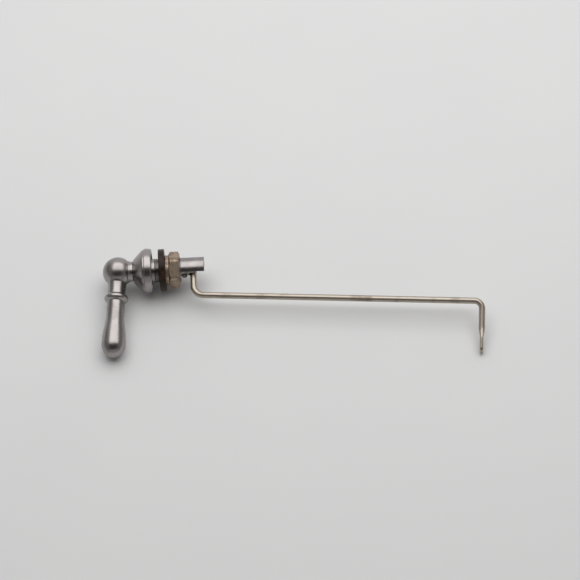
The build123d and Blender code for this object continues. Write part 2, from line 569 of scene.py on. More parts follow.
@dataclass(frozen=True)
class TurnedSteel(Finish):
    """Bar steel with turning marks, plated or blackened."""

    place: Place
    clean: Colour
    stained: Colour
    roughness: float = 0.34
    stain_rough: float = 0.15
    cuts_per_mm: float = 4.0
    cut_depth: float = 0.006
    stains_per_m: float = 260.0
    stain_layers: float = 4.0
    stain_span: Span = (0.4, 0.7)

    def sockets(self, shader: Shader) -> Sockets:
        """Turning marks under stains.

        Args:
            shader: The material's tree.

        Returns:
            What feeds the surface shader, by socket.
        """
        cuts = shader.turned_marks(self.place, self.cuts_per_mm)
        stain = shader.patches(self.stains_per_m, self.stain_layers, self.stain_span)
        return {
            "Base Color": shader.blend(stain, self.clean, self.stained),
            "Metallic": 1.0,
            "Roughness": self.roughness + self.stain_rough * stain,
            "Normal": shader.bump(cuts, self.cut_depth),
        }


@dataclass(frozen=True)
class BushPlastic(Finish):
    """Off-white bearing plastic with a faint moulded grain."""

    pale: Colour = (0.66, 0.64, 0.58)
    yellowed: Colour = (0.55, 0.51, 0.41)
    roughness: float = 0.45
    grain_rough: float = 0.15
    grain_per_m: float = 1500.0
    grain_depth: float = 0.01
    stains_per_m: float = 160.0
    stain_layers: float = 3.0
    stain_span: Span = (0.4, 0.75)

    def sockets(self, shader: Shader) -> Sockets:
        """A moulded grain under yellowed patches.

        Args:
            shader: The material's tree.

        Returns:
            What feeds the surface shader, by socket.
        """
        grain = shader.noise(shader.coordinates, self.grain_per_m)
        stain = shader.patches(self.stains_per_m, self.stain_layers, self.stain_span)
        return {
            "Base Color": shader.blend(stain, self.pale, self.yellowed),
            "Roughness": self.roughness + self.grain_rough * grain,
            "Normal": shader.bump(grain, self.grain_depth),
        }


@dataclass(frozen=True)
class PaleFloor(Finish):
    """Matt pale grey paper under the part."""

    pale: Colour = (0.83, 0.83, 0.825)
    deep: Colour = (0.80, 0.80, 0.80)
    roughness: float = 0.9
    shine: float = 0.1
    clouds_per_m: float = 9.0

    def sockets(self, shader: Shader) -> Sockets:
        """A plain matt surface with a faint cloudiness.

        Args:
            shader: The material's tree.

        Returns:
            What feeds the surface shader, by socket.
        """
        cloud = shader.noise(shader.coordinates, self.clouds_per_m)
        return {
            "Base Color": shader.blend(cloud, self.pale, self.deep),
            "Roughness": self.roughness,
            "Specular IOR Level": self.shine,
        }


class GeometryTree(Tree):
    """A geometry node group with named inputs, run once to give a plain mesh."""

    def __init__(self, name: str, inputs: Mapping[str, SocketKind]) -> None:
        """Start a group.

        Args:
            name: The group's name.
            inputs: Its inputs beside the geometry and the material, by name.
        """
        super().__init__(bpy.data.node_groups.new(name, "GeometryNodeTree"))
        interface = self.nodes.interface
        interface.new_socket("Geometry", in_out="OUTPUT", socket_type=SocketKind.GEOMETRY.value)
        kinds = {"Geometry": SocketKind.GEOMETRY, **inputs, "Material": SocketKind.MATERIAL}
        self.keys = {
            key: interface.new_socket(key, in_out="INPUT", socket_type=kind.value).identifier
            for key, kind in kinds.items()
        }
        self.given = self.node("NodeGroupInput").outputs

    def number(self, name: str) -> Value:
        """One of the number inputs."""
        return Value(self, self.given[name])

    def position(self) -> NodeSocket:
        """Where each point lies."""
        return self.node("GeometryNodeInputPosition").outputs[0]

    def carried(self, name: str) -> Value:
        """A number that the points carry."""
        return self.value("GeometryNodeInputNamedAttribute", {"data_type": "FLOAT"}, {"Name": name})

    def close(self, geometry: NodeSocket) -> None:
        """End the group with real geometry in its material.

        Args:
            geometry: What the group has made.
        """
        real = self.node("GeometryNodeRealizeInstances", sockets={0: geometry}).outputs[0]
        sockets = {"Geometry": real, "Material": self.given["Material"]}
        dressed = self.node("GeometryNodeSetMaterial", sockets=sockets).outputs[0]
        self.node("NodeGroupOutput", sockets={"Geometry": dressed})

    def run(self, start: Mesh, lengths: Mapping[str, float | Vector], others: Mapping[str, Any]) -> Mesh:
        """Work on a mesh.

        Args:
            start: The mesh that goes in.
            lengths: The inputs that are lengths or places, in millimetres, by name.
            others: The other inputs as they are, by name.

        Returns:
            A new plain mesh.
        """
        holder = in_scene("holder", start)
        modifier = holder.modifiers.new("tree", "NODES")
        modifier.node_group = self.nodes
        values = {name: length * MM for name, length in lengths.items()} | others
        for name, given in values.items():
            modifier[self.keys[name]] = given
        made = frozen_mesh(holder)
        holder.modifiers.remove(modifier)
        bpy.data.objects.remove(holder)
        return made


def in_scene(name: str, data: ID) -> Object:
    """Put a mesh, a lamp or a camera in the scene.

    Args:
        name: The new object's name.
        data: What the object holds.

    Returns:
        The new object, at the origin.
    """
    added = bpy.data.objects.new(name, data)
    bpy.context.scene.collection.objects.link(added)
    return added


def frozen_mesh(holder: Object) -> Mesh:
    """The evaluated mesh of an object as plain data.

    Args:
        holder: An object with live modifiers.

    Returns:
        A new mesh.
    """
    graph = bpy.context.evaluated_depsgraph_get()
    live = holder.evaluated_get(graph)
    return bpy.data.meshes.new_from_object(live, preserve_all_data_layers=True, depsgraph=graph)


@dataclass(frozen=True)
class Thread:
    """A screw thread on a turned piece. A depth below nought cuts outwards, into a bore."""

    radius: float
    start: float
    end: float
    pitch: float
    depth: float
    run_out: float
    hand: Hand
    steps: int = 12

    def stations(self) -> list[float]:
        """Stations close enough together to carry the thread's form."""
        return spaced(self.start, self.end, round((self.end - self.start) / self.pitch * self.steps))


class ThreadCutter:
    """Cuts a screw thread into the turned skin of a mesh about its local x axis."""

    flat_share: float = 0.14
    skin: float = 0.02

    def __init__(self) -> None:
        """Build the tree."""
        numbers = ("Pitch", "Depth", "Radius", "Start", "End", "Run Out", "Hand")
        tree = GeometryTree("thread_cutter", dict.fromkeys(numbers, SocketKind.NUMBER))
        x, y, z = tree.split(tree.position())
        radius = y.hypot(z)
        turns = tree.maths("ARCTAN2", z, y) / FULL_TURN
        phase = (x / tree.number("Pitch") + turns * tree.number("Hand")).fraction()
        flank = abs(2.0 * phase - 1.0).ramp(self.flat_share, 1.0 - self.flat_share)
        run_out, start, end = (tree.number(name) for name in ("Run Out", "Start", "End"))
        fade = x.ramp(start, start + run_out) * (1.0 - x.ramp(end - run_out, end))
        on_skin = 1.0 - abs(radius - tree.number("Radius")).ramp(self.skin * MM, 2 * self.skin * MM)
        cut = tree.number("Depth") * flank * fade * on_skin
        outward = tree.join(0.0, y / radius, z / radius)
        sockets = {"Geometry": tree.given["Geometry"], "Offset": tree.scaled(outward, -1.0 * cut)}
        tree.close(tree.node("GeometryNodeSetPosition", sockets=sockets).outputs[0])
        self.tree = tree

    def cut(self, start: Mesh, thread: Thread, material: Material) -> Mesh:
        """Cut one thread.

        Args:
            start: The turned mesh, with its axis on x.
            thread: The thread's sizes.
            material: The finish of the cut mesh.

        Returns:
            The threaded mesh.
        """
        lengths = {
            "Pitch": thread.pitch,
            "Depth": thread.depth,
            "Radius": thread.radius,
            "Start": thread.start,
            "End": thread.end,
            "Run Out": thread.run_out,
        }
        return self.tree.run(start, lengths, {"Hand": thread.hand.value, "Material": material})


class RodBender:
    """Sweeps a rod along a bent route, presses its end flat and drills it."""

    squareness: float = 0.55
    corner_share: float = 0.35
    rod_inputs: tuple[str, ...] = ("Rod Radius", "Step", "Press Length", "Taper", "Thickness", "Width")
    eye_inputs: tuple[str, ...] = ("Eye Radius", "Eye Inset", "Eye Chamfer")
    count_inputs: tuple[str, ...] = ("Bend Steps", "Sides")
    vector_inputs: tuple[str, ...] = ("Tip", "End Way", "Flat Way", "Wide Way")

    def __init__(self) -> None:
        """Build the tree."""
        inputs = dict.fromkeys(self.rod_inputs + self.eye_inputs, SocketKind.NUMBER)
        inputs |= dict.fromkeys(self.count_inputs, SocketKind.COUNT)
        inputs |= dict.fromkeys(self.vector_inputs, SocketKind.VECTOR)
        self.tree = GeometryTree("rod_bender", inputs)
        tube, length = self.sweep()
        self.tree.close(self.drill(self.press(tube, length)))

    def sweep(self) -> tuple[NodeSocket, Value]:
        """Round the route's corners and sweep the rod along it.

        Returns:
            The closed tube, and the route's whole length.
        """
        tree = self.tree
        route = tree.node("GeometryNodeMeshToCurve", sockets={0: tree.given["Geometry"]}).outputs[0]
        sockets = {"Curve": route, "Count": tree.given["Bend Steps"], "Radius": tree.carried("bend")}
        bent = tree.node("GeometryNodeFilletCurve", {"mode": "POLY"}, sockets).outputs[0]
        sockets = {"Curve": bent, "Length": tree.given["Step"]}
        even = tree.node("GeometryNodeResampleCurve", {"mode": "LENGTH"}, sockets).outputs[0]
        length = tree.value("GeometryNodeCurveLength", sockets={0: even})
        sockets = {"Resolution": tree.given["Sides"], "Radius": tree.given["Rod Radius"]}
        section = tree.node("GeometryNodeCurvePrimitiveCircle", {"mode": "RADIUS"}, sockets).outputs[0]
        marked = self.mark(even, "along", "Length")
        ring = self.mark(section, "around", "Factor")
        sockets = {"Curve": marked, "Profile Curve": ring, "Fill Caps": True}
        return tree.node("GeometryNodeCurveToMesh", sockets=sockets).outputs[0], length

    def mark(self, curve: NodeSocket, name: str, measure: str) -> NodeSocket:
        """Store a curve's own measure at its points.

        Args:
            curve: The curve.
            name: The attribute's name.
            measure: Which measure of the curve it holds.

        Returns:
            The marked curve.
        """
        measured = self.tree.node("GeometryNodeSplineParameter").outputs[measure]
        settings = {"data_type": "FLOAT", "domain": "POINT"}
        sockets = {"Geometry": curve, "Name": name, "Value": measured}
        return self.tree.node("GeometryNodeStoreNamedAttribute", settings, sockets).outputs[0]

    @staticmethod
    def quarter_round(from_end: Value, size: Value) -> Value:
        """The height of a quarter circle: 0 at the end, and 1 from its own size before the end on."""
        past = (1.0 - from_end / size).at_least(0.0)
        return (1.0 - past * past).at_least(0.0).root()

    def press(self, tube: NodeSocket, length: Value) -> NodeSocket:
        """Press the tube's end flat, with a rounded tip.

        Args:
            tube: The tube.
            length: Its length.

        Returns:
            The pressed tube.
        """
        tree = self.tree
        from_end = length - tree.carried("along")
        radius, press = tree.number("Rod Radius"), tree.number("Press Length")
        flat = 1.0 - from_end.ramp(press - tree.number("Taper"), press)
        square = 1.0 - self.squareness * flat
        half_thin, half_wide = tree.number("Thickness") / 2.0, tree.number("Width") / 2.0
        edge = self.quarter_round(from_end, half_thin * self.corner_share)
        thin = half_thin * (1.0 - (1.0 - edge) * self.corner_share)
        wide = half_wide * self.quarter_round(from_end, half_wide)
        spine = tree.vectors("SUBTRACT", tree.given["Tip"], tree.scaled(tree.given["End Way"], from_end))
        offset = tree.vectors("SUBTRACT", tree.position(), spine)
        placed = spine
        for way, half in (("Flat Way", thin), ("Wide Way", wide)):
            part = tree.dot(offset, tree.given[way]) / radius
            size = radius + (half - radius) * flat
            out = part.sign() * abs(part).power(square) * size
            placed = tree.vectors("ADD", placed, tree.scaled(tree.given[way], out))
        chosen = tree.maths("LESS_THAN", from_end, press)
        sockets = {"Geometry": tube, "Selection": chosen, "Position": placed}
        return tree.node("GeometryNodeSetPosition", sockets=sockets).outputs[0]

    def drill(self, pressed: NodeSocket) -> NodeSocket:
        """Drill the chain's eye through the flat, with both its mouths chamfered.

        Args:
            pressed: The pressed rod.

        Returns:
            The drilled rod.
        """
        tree = self.tree
        inset = tree.scaled(tree.given["End Way"], tree.number("Eye Inset"))
        centre = tree.vectors("SUBTRACT", tree.given["Tip"], inset)
        sockets = {"Vector": tree.given["Flat Way"]}
        turn = tree.node("FunctionNodeAlignRotationToVector", {"axis": "Z"}, sockets).outputs[0]
        radius, chamfer = tree.number("Eye Radius"), tree.number("Eye Chamfer")
        sockets = {"Vertices": tree.given["Sides"], "Radius": radius, "Depth": tree.number("Width")}
        cutters = [tree.node("GeometryNodeMeshCylinder", {"fill_type": "NGON"}, sockets).outputs["Mesh"]]
        for side in (1.0, -1.0):
            sockets = {
                "Vertices": tree.given["Sides"],
                "Radius Top": radius + side * chamfer,
                "Radius Bottom": radius - side * chamfer,
                "Depth": 2.0 * chamfer,
            }
            cone = tree.node("GeometryNodeMeshCone", {"fill_type": "NGON"}, sockets).outputs["Mesh"]
            lift = tree.join(0.0, 0.0, side * tree.number("Thickness") / 2.0 - chamfer)
            sockets = {"Geometry": cone, "Translation": lift}
            cutters.append(tree.node("GeometryNodeTransform", sockets=sockets).outputs[0])
        for cutter in cutters:
            sockets = {"Geometry": cutter, "Translation": centre, "Rotation": turn}
            placed = tree.node("GeometryNodeTransform", sockets=sockets).outputs[0]
            settings = {"operation": Joining.DIFFERENCE.value, "solver": "EXACT"}
            sockets = {"Mesh 1": pressed, "Mesh 2": placed}
            pressed = tree.node("GeometryNodeMeshBoolean", settings, sockets).outputs["Mesh"]
        return pressed


@dataclass(frozen=True)
class Ring:
    """One ring of a turned mesh. Its station and radius may follow the angle round the axis."""

    station: Shape
    radius: Shape

    def at(self, angle: float) -> Vector:
        """The ring's point at an angle, in millimetres.

        Args:
            angle: The angle round the axis, in radians.

        Returns:
            The point.
        """
        station = self.station(angle) if callable(self.station) else self.station
        radius = self.radius(angle) if callable(self.radius) else self.radius
        return Vector((station, radius * math.cos(angle), radius * math.sin(angle)))

    def is_pole(self) -> bool:
        """Whether the ring is a single point on the axis."""
        return not callable(self.radius) and self.radius == 0.0


def as_rings(outline: Sequence[Point]) -> list[Ring]:
    """Plain round rings through the points of an outline."""
    return [Ring(station, radius) for station, radius in outline]


@dataclass(frozen=True)
class Lathe:
    """Turns rings into a closed mesh about the local x axis."""

    segments: int = 128

    def turn(self, rings: Sequence[Ring], hollow: bool = False) -> Mesh:
        """Build a mesh.

        Args:
            rings: The rings in order along the outline.
            hollow: Whether the last ring joins the first, as round a bore.

        Returns:
            The mesh, in metres.
        """
        form = bmesh.new()
        angles = [FULL_TURN * i / self.segments for i in range(self.segments)]
        loops = []
        for ring in rings:
            around = angles[:1] if ring.is_pole() else angles
            loops.append([form.verts.new(ring.at(angle) * MM) for angle in around])
        pairs = list(zip(loops, loops[1:]))
        if hollow:
            pairs.append((loops[-1], loops[0]))
        for first, second in pairs:
            self.bridge(form, first, second)
        return finished_mesh(form, "turned")

    def bridge(self, form: BMesh, first: list[BMVert], second: list[BMVert]) -> None:
        """Join two neighbouring rings with faces.

        Args:
            form: The mesh that grows.
            first: Points of one ring, or its pole.
            second: Points of the next.
        """
        for i in range(self.segments):
            j = (i + 1) % self.segments
            spots = ((first, i), (first, j), (second, j), (second, i))
            corners = dict.fromkeys(loop[spot % len(loop)] for loop, spot in spots)
            form.faces.new(list(corners))


def finished_mesh(form: BMesh, name: str) -> Mesh:
    """Write a built form to a mesh with its faces turned outwards.

    Args:
        form: The form, which is freed.
        name: The mesh's name.

    Returns:
        The mesh.
    """
    bmesh.ops.recalc_face_normals(form, faces=form.faces)
    mesh = bpy.data.meshes.new(name)
    form.to_mesh(mesh)
    form.free()
    return mesh


def rounded(corners: Sequence[Corner]) -> list[Point]:
    """Round each corner of an outline with an arc of its own.

    Args:
        corners: Station, radius and rounding of each corner.

    Returns:
        The outline's points.
    """
    points: list[Point] = []
    spots = [Vector(corner[:2]) for corner in corners]
    for i, (spot, (_, _, bend)) in enumerate(zip(spots, corners)):
        if bend == 0:
            points.append(tuple(spot))
            continue
        back = (spots[i - 1] - spot).normalized()
        ahead = (spots[(i + 1) % len(spots)] - spot).normalized()
        half = back.angle(ahead) / 2
        centre = spot + (back + ahead).normalized() * bend / math.sin(half)
        start = spot + back * bend / math.tan(half) - centre
        end = spot + ahead * bend / math.tan(half) - centre
        points += [tuple(centre + start.slerp(end, share) * bend) for share in spaced(0.0, 1.0, ARC_STEPS)]
    return points


def circle_through(first: Point, second: Point, third: Point) -> tuple[Vector, float]:
    """The circle through three points.

    Args:
        first: A point.
        second: Another.
        third: Another.

    Returns:
        The centre and the radius.
    """
    a, b, c = Vector(first), Vector(second), Vector(third)
    d = 2 * (a.x * (b.y - c.y) + b.x * (c.y - a.y) + c.x * (a.y - b.y))
    aa, bb, cc = a.length_squared, b.length_squared, c.length_squared
    x = (aa * (b.y - c.y) + bb * (c.y - a.y) + cc * (a.y - b.y)) / d
    y = (aa * (c.x - b.x) + bb * (a.x - c.x) + cc * (b.x - a.x)) / d
    centre = Vector((x, y))
    return centre, (a - centre).length


def smooth_max(first: float, second: float, width: float) -> float:
    """The larger of two numbers, with a rounded change where they are nearer than a width."""
    near = max(width - abs(first - second), 0.0) / width
    return max(first, second) + near * near * width / 4


def spaced(start: float, end: float, count: int) -> list[float]:
    """Evenly spaced numbers, with both ends."""
    return [start + (end - start) * i / count for i in range(count + 1)]


def box_mm(node: str) -> tuple[Vector, Vector]:
    """A solid's lowest and highest corners, in millimetres."""
    low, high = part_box(node)
    return low / MM, high / MM


def combined(base: Mesh, other: Mesh, joining: Joining) -> Mesh:
    """Join or cut two closed meshes.

    Args:
        base: The mesh that is kept.
        other: The mesh that is added or taken away.
        joining: Which of the two is done.

    Returns:
        The resulting mesh.
    """
    kept, used = (in_scene("holder", mesh) for mesh in (base, other))
    modifier = kept.modifiers.new("join", "BOOLEAN")
    modifier.operation = joining.value
    modifier.solver = "EXACT"
    modifier.object = used
    made = frozen_mesh(kept)
    for holder in (kept, used):
        bpy.data.objects.remove(holder)
    return made


def show(mesh: Mesh, name: str, body: Body, node: str, material: Material) -> Object:
    """Make a finished mesh the piece that stands for a solid.

    Args:
        mesh: The mesh, in the part's own frame.
        name: The piece's name.
        body: The body that it rides on.
        node: The solid that it stands for.
        material: Its finish.

    Returns:
        The new piece.
    """
    mesh.name = name
    mesh.materials.clear()
    mesh.materials.append(material)
    mesh.shade_smooth()
    mesh.set_sharp_from_angle(angle=math.radians(SHARP_EDGE))
    piece = in_scene(name, mesh)
    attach(piece, body.value)
    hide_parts(node)
    return piece


def dress(node: str, material: Material) -> Object:
    """Give a solid that is shown as it was modelled its finish.

    Args:
        node: The solid's name.
        material: Its finish.

    Returns:
        The solid.
    """
    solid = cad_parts[node]
    solid.data.materials.clear()
    solid.data.materials.append(material)
    return solid


@dataclass(frozen=True)
class Escutcheon:
    """Bell-shaped wall plate, cast in one with a threaded shank and its half-round hood."""

    rim_width: float = 5.8
    rim_step: float = 0.9
    rim_round: float = 0.75
    crown_length: float = 4.0
    crown_drop: float = 1.2
    crown_steps: int = 12
    bell_run: float = 7.0
    bell_round: float = 2.5
    nose_r: float = 8.7
    nose_round: float = 1.2
    bore_r: float = 5.1
    seat_inner_r: float = 13.8
    recess_depth: float = 1.4
    recess_r: float = 13.4
    recess_end: float = 2.2
    edge: float = 0.3
    shank_length: float = 22.0
    hood_relief: float = 0.3
    hood_edge: float = 0.5
    bush_r: float = 6.28
    bush_start: float = 5.0
    window_droop: float = 44.0
    thread: Thread = Thread(
        radius=9.0, start=1.6, end=21.7, pitch=1.5, depth=0.62, run_out=1.2, hand=Hand.LEFT
    )

    def outline(self) -> list[Point]:
        """The half section, all the way round.

        Returns:
            Its points, as stations and radii.
        """
        low, high = box_mm("escutcheon")
        rim_r = high.z
        bell_r = rim_r - self.rim_step
        shank_r = self.thread.radius
        hood_r = shank_r - self.hood_relief
        front = rounded(
            [
                (low.x, self.bore_r, self.edge),
                (low.x, self.nose_r, self.nose_round),
                (low.x + self.bell_run, bell_r, self.bell_round),
                (-self.rim_width, bell_r, 0),
                (-self.rim_width, rim_r, self.rim_round),
                (-self.crown_length, rim_r, 0),
            ]
        )
        crown = []
        for angle in spaced(0.0, QUARTER_TURN, self.crown_steps)[1:]:
            fall = self.crown_drop * (1 - math.cos(angle))
            crown.append((self.crown_length * (math.sin(angle) - 1), rim_r - fall))
        seat = rounded(
            [
                (0, rim_r - self.crown_drop, 0),
                (0, self.seat_inner_r, self.edge),
                (-self.recess_depth, self.recess_r, self.edge),
                (-self.recess_end, shank_r, self.edge),
                (self.thread.start, shank_r, 0),
            ]
        )
        threaded = [(station, shank_r) for station in self.thread.stations()]
        back = rounded(
            [
                (self.shank_length, hood_r, 0),
                (high.x, hood_r, self.hood_edge),
                (high.x, self.bush_r, self.edge),
                (self.bush_start, self.bush_r, 0),
                (self.bush_start, self.bore_r, 0),
            ]
        )
        return front + crown + seat[1:-1] + threaded + back

    def window(self) -> Mesh:
        """The block that opens the hood towards the arm.

        Returns:
            The block's mesh.
        """
        _, high = box_mm("escutcheon")
        reach = self.thread.radius * 2
        size = Vector((high.x - self.shank_length + reach, reach, 2 * reach))
        middle = Vector((self.shank_length + size.x / 2, -reach / 2, 0))
        form = bmesh.new()
        bmesh.ops.create_cube(form, size=1.0)
        turn = Matrix.Rotation(math.radians(self.window_droop), 4, "X")
        place = turn @ Matrix.Translation(middle * MM) @ Matrix.Diagonal((*(size * MM), 1.0))
        bmesh.ops.transform(form, matrix=place, verts=form.verts)
        return finished_mesh(form, "window")

    def build(self, cutter: ThreadCutter) -> Object:
        """Make the piece.

        Args:
            cutter: What cuts the shank's thread.

        Returns:
            The piece.
        """
        finish = SatinNickel(SPINDLE_AXIS).material("satin_nickel_plate")
        turned = Lathe().turn(as_rings(self.outline()), hollow=True)
        threaded = cutter.cut(turned, self.thread, finish)
        opened = combined(threaded, self.window(), Joining.DIFFERENCE)
        return show(opened, "escutcheon_casting", Body.MOUNTING, "escutcheon", finish)


@dataclass(frozen=True)
class RubberWasher:
    """Rubber ring under the nut, which sits a little askew on the shank."""

    edge: float = 0.45
    bore_edge: float = 0.2
    bore_r: float = 9.25
    lean: float = 1.35
    lean_up: Direction = (0.0, 0.85, 0.53)

    def build(self) -> Object:
        """Make the piece.

        Returns:
            The piece.
        """
        low, high = box_mm("rubber_washer")
        outline = rounded(
            [
                (low.x, self.bore_r, self.bore_edge),
                (low.x, high.z, self.edge),
                (high.x, high.z, self.edge),
                (high.x, self.bore_r, self.bore_edge),
            ]
        )
        mesh = Lathe().turn(as_rings(outline), hollow=True)
        middle = Matrix.Translation(Vector(((low.x + high.x) / 2 * MM, 0, 0)))
        axis = Vector(self.lean_up).cross(Vector((-1, 0, 0)))
        mesh.transform(middle @ Matrix.Rotation(math.radians(self.lean), 4, axis) @ middle.inverted())
        finish = WasherRubber().material("washer_rubber")
        return show(mesh, "washer_ring", Body.SEAL, "rubber_washer", finish)


@dataclass(frozen=True)
class LockNut:
    """Hexagon nut with a round collar and a threaded bore."""

    sides: int = 6
    across_flats: float = 24.0
    collar_r: float = 11.1
    collar_length: float = 2.8
    corner_round: float = 0.5
    crown_angle: float = 30.0
    edge: float = 0.35
    bore_r: float = 9.15
    bore_chamfer: float = 0.6
    pitch: float = 1.5
    thread_depth: float = 0.6
    segments: int = 132

    def flats(self, angle: float) -> float:
        """The hexagon's radius at an angle, with its corners a little rounded.

        Args:
            angle: The angle round the axis, in radians.

        Returns:
            The radius in millimetres.
        """
        step = FULL_TURN / self.sides
        half = step / 2
        off_corner = abs((angle - QUARTER_TURN + half) % step - half)
        reach = self.across_flats / 2
        sharp = reach / math.cos(half - off_corner)
        corner = reach / math.cos(half)
        return -smooth_max(-sharp, -(corner - self.corner_round / 2), self.corner_round)

    def inner(self, angle: float) -> float:
        """The hexagon's radius just inside its rounded edge."""
        return self.flats(angle) - self.edge

    def drop(self, angle: float) -> float:
        """How far the turned-off corner lies behind the hexagon's end."""
        return (self.flats(angle) - self.across_flats / 2) * math.tan(math.radians(self.crown_angle))

    def rings(self, bore: Sequence[float]) -> list[Ring]:
        """The rings of the collar, of the hexagon with its corners turned off, and of the bore.

        Args:
            bore: The stations of the threaded bore.

        Returns:
            The rings in order.
        """
        low, high = box_mm("lock_nut")
        hex_x = low.x + self.collar_length
        flat_r = self.across_flats / 2
        mouth = self.bore_r + self.bore_chamfer
        collar = rounded([(low.x, mouth, 0), (low.x, self.collar_r, self.edge), (hex_x, self.collar_r, 0)])
        hexagon = [
            Ring(hex_x, flat_r - self.edge),
            Ring(lambda angle: hex_x + self.drop(angle), self.inner),
            Ring(lambda angle: hex_x + self.drop(angle) + self.edge, self.flats),
            Ring(lambda angle: high.x - self.drop(angle) - self.edge, self.flats),
            Ring(lambda angle: high.x - self.drop(angle), self.inner),
            Ring(high.x, flat_r - self.edge),
            Ring(high.x, mouth),
        ]
        return as_rings(collar) + hexagon + [Ring(station, self.bore_r) for station in reversed(bore)]

    def build(self, cutter: ThreadCutter) -> Object:
        """Make the piece.

        Args:
            cutter: What cuts the bore's thread.

        Returns:
            The piece.
        """
        low, high = box_mm("lock_nut")
        start, end = low.x + self.bore_chamfer, high.x - self.bore_chamfer
        thread = Thread(self.bore_r, start, end, self.pitch, -self.thread_depth, self.pitch / 2, Hand.LEFT)
        mesh = Lathe(self.segments).turn(self.rings(thread.stations()), hollow=True)
        finish = DullBrass(SPINDLE_AXIS).material("dull_nut_brass")
        threaded = cutter.cut(mesh, thread, finish)
        return show(threaded, "lock_nut_threaded", Body.NUT, "lock_nut", finish)


@dataclass(frozen=True)
class HandleCasting:
    """Ball hub with a short neck, and a baluster lever that swells towards its end."""

    hub_r: float = 11.4
    lean: float = 4.4
    root_at: float = 6.5
    root_r: float = 7.7
    neck_at: float = 13.0
    neck_r: float = 6.7
    collar_r: float = 7.0
    bead_at: float = 21.6
    bead_width: float = 4.4
    bead_r: float = 8.9
    waist_at: float = 33.0
    waist_r: float = 6.7
    belly_at: float = 58.0
    belly_r: float = 9.1
    length: float = 68.6
    floor_gap: float = 0.25
    plain_ball_share: float = 0.75
    root_blend: float = 1.1
    bead_blend: float = 3.0
    bead_skirt: float = 3.0
    boss_r: float = 7.6
    boss_length: float = 3.1
    boss_edge: float = 0.35
    flare: float = 1.0
    flare_inset: float = 1.6
    flare_run: float = 2.6
    flare_steps: int = 8
    socket_r: float = 4.93
    socket_floor: float = 4.0
    ball_steps: int = 44
    root_steps: int = 120
    swell_steps: int = 40
    dome_steps: int = 28

    def droop(self) -> float:
        """How far the lever swings down to lie on the same floor as the escutcheon.

        Returns:
            The angle in radians.
        """
        rim_drop = -box_mm("escutcheon")[0].z - self.floor_gap
        belly_y = self.belly_at * math.cos(math.radians(self.lean))
        reach = math.hypot(belly_y, self.belly_r)
        return math.asin(rim_drop / reach) - math.atan2(self.belly_r, belly_y)

    def boss_end(self) -> float:
        """The station at which the boss ends, before the escutcheon."""
        return box_mm("handle")[1].x

    def hub_at(self) -> float:
        """The station of the ball's centre on the spindle's axis."""
        return self.boss_end() - self.boss_length - math.sqrt(self.hub_r**2 - self.boss_r**2)

    def place(self) -> Place:
        """Where the lever's axis lies, from the hub's centre: off the wall, and down to the floor.

        Returns:
            The lever's local frame.
        """
        lean = math.radians(self.lean)
        lever_way = Vector((-math.sin(lean), -math.cos(lean), 0))
        hub = Vector((self.hub_at() * MM, 0, 0))
        return place_across(Matrix.Rotation(self.droop(), 3, "X") @ lever_way, hub)

    def ball_outline(self, end: float) -> list[Point]:
        """The half section of the plain ball, from its far pole.

        Args:
            end: The station at which it ends.

        Returns:
            Its points, as stations and radii.
        """
        points: list[Point] = [(-self.hub_r, 0.0)]
        for angle in spaced(math.pi, math.acos(end / self.hub_r), self.ball_steps)[1:]:
            points.append((self.hub_r * math.cos(angle), self.hub_r * math.sin(angle)))
        return points

    def neck_outline(self, start: float) -> list[Point]:
        """The half section of root, neck, bead and waist, with every crease a little rounded.

        Args:
            start: The station at which it leaves the plain ball.

        Returns:
            Its points, as stations and radii.
        """
        bead_start = (self.bead_at - self.bead_width / 2, self.collar_r)
        bead_end = (self.bead_at + self.bead_width / 2, self.waist_r)
        neck, neck_bend = circle_through((self.root_at, self.root_r), (self.neck_at, self.neck_r), bead_start)
        bead, bead_bend = circle_through(bead_start, (self.bead_at, self.bead_r), bead_end)
        points: list[Point] = []
        for at in spaced(start, self.waist_at, self.root_steps)[1:]:
            ball = math.sqrt(max(self.hub_r**2 - at**2, 0.0))
            root = self.waist_r
            if at < bead_start[0]:
                root = neck.y - math.sqrt(neck_bend**2 - (at - neck.x) ** 2)
            off = abs(at - bead.x)
            skirt = self.bead_skirt * max(off - bead_bend, 0.0)
            ring = bead.y + math.sqrt(max(bead_bend**2 - off**2, 0.0)) - skirt
            points.append((at, smooth_max(smooth_max(ball, root, self.root_blend), ring, self.bead_blend)))
        return points

    def swell_outline(self) -> list[Point]:
        """The half section from the waist over the belly to the tip.

        Returns:
            Its points, as stations and radii.
        """
        points: list[Point] = []
        rise, run = self.belly_r - self.waist_r, self.belly_at - self.waist_at
        bend = (run**2 + rise**2) / (4 * rise)
        for at in spaced(0.0, run, self.swell_steps)[1:]:
            near_end = min(at, run - at)
            sag = bend - math.sqrt(bend**2 - near_end**2)
            points.append((self.waist_at + at, self.waist_r + sag if at <= run / 2 else self.belly_r - sag))
        dome = self.length - self.belly_at
        for angle in spaced(0.0, QUARTER_TURN, self.dome_steps)[1:-1]:
            points.append((self.belly_at + dome * math.sin(angle), self.belly_r * math.cos(angle)))
        return points + [(self.length, 0.0)]

    def boss(self) -> Mesh:
        """The short neck that faces the escutcheon, flared where it leaves the ball.

        Returns:
            The neck's mesh.
        """
        end, hub = self.boss_end(), self.hub_at()
        ball_x = end - self.boss_length
        flare_start, flare_r = ball_x - self.flare_inset * self.flare, self.boss_r + self.flare
        points = [(hub, 0.0), (hub, flare_r), (flare_start, flare_r)]
        for angle in spaced(0.0, QUARTER_TURN, self.flare_steps)[1:]:
            share = math.sin(angle)
            points.append((flare_start + self.flare_run * self.flare * share, flare_r - self.flare * share))
        points += rounded([(ball_x, self.boss_r, 0), (end, self.boss_r, self.boss_edge), (end, 0.0, 0)])[1:-1]
        return Lathe().turn(as_rings(points + [(end, 0.0)]))

